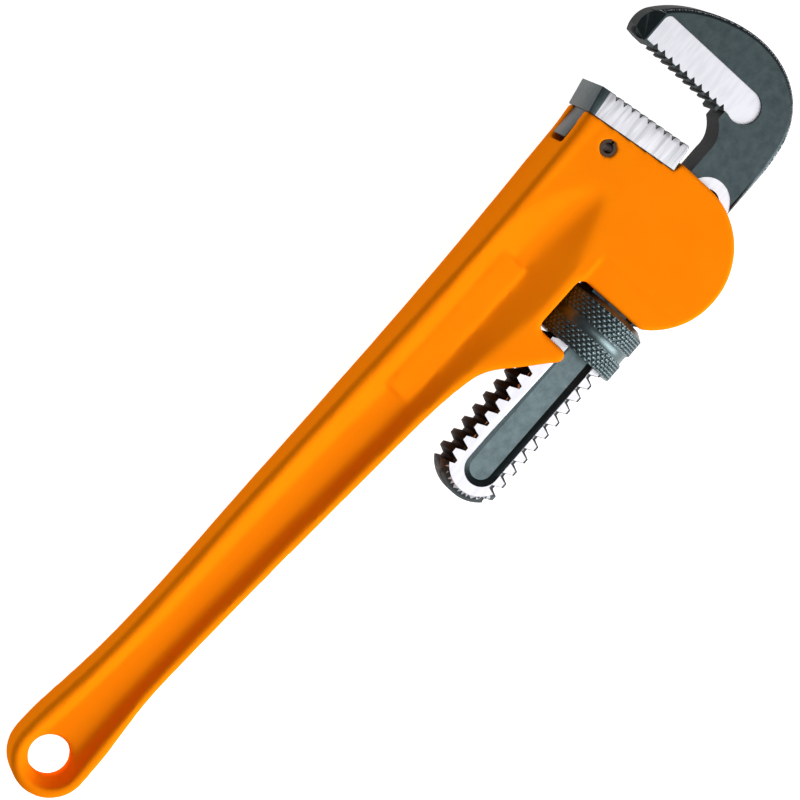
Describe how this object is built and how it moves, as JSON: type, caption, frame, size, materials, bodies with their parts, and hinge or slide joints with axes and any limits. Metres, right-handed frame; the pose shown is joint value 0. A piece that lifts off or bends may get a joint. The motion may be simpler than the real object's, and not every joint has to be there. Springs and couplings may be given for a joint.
{
  "type": "pipe wrench",
  "caption": "Heavy-duty pipe wrench with a cast I-beam handle, toothed heel jaw, threaded hook jaw and knurled adjusting nut, lying on its side.",
  "frame": {"origin": "centre of the hang hole, at half the wrench's thickness", "axes": "+X along the handle to the jaws, +Y to the back of the handle where the mouth opens, +Z square to the wide faces, along the hang hole"},
  "size_m": [0.3512, 0.0825, 0.032],
  "materials": {
    "handle_enamel": "orange enamel over a casting",
    "jaw_steel": "ground hardened steel",
    "forged_steel": "phosphated forging with ground faces",
    "nut_steel": "phosphated steel, diamond knurled",
    "spring_steel": "oiled spring steel"
  },
  "bodies": {
    "handle": {"handle": "handle_enamel", "heel_jaw": "jaw_steel", "heel_jaw_pin": "spring_steel", "coil_spring": "spring_steel"},
    "rocker": {"flat_spring": "spring_steel"},
    "hook_jaw": {"hook_jaw": "forged_steel"},
    "nut": {"adjusting_nut": "nut_steel"}
  },
  "joints": [
    {"name": "jaw_rock", "type": "hinge", "parent": "handle", "child": "rocker", "pos_m": [0.2376, -0.04591, 0], "axis": [0, 0, 1], "range_deg": [-2, 2], "stiffness_Nm_per_rad": 1.25, "deforming": ["coil_spring"]},
    {"name": "jaw_slide", "type": "slide", "parent": "rocker", "child": "hook_jaw", "axis": [1, 0, 0], "range_m": [-0.014, 0.045]},
    {"name": "nut_spin", "type": "hinge", "parent": "rocker", "child": "nut", "pos_m": [0.227, -0.04591, 0], "axis": [1, 0, 0], "range_deg": [-2946.45, 917.36]}
  ],
  "couplings": [
    {"joint": "nut_spin", "follows": "jaw_slide", "rad_per_m": -1142.4}
  ]
}
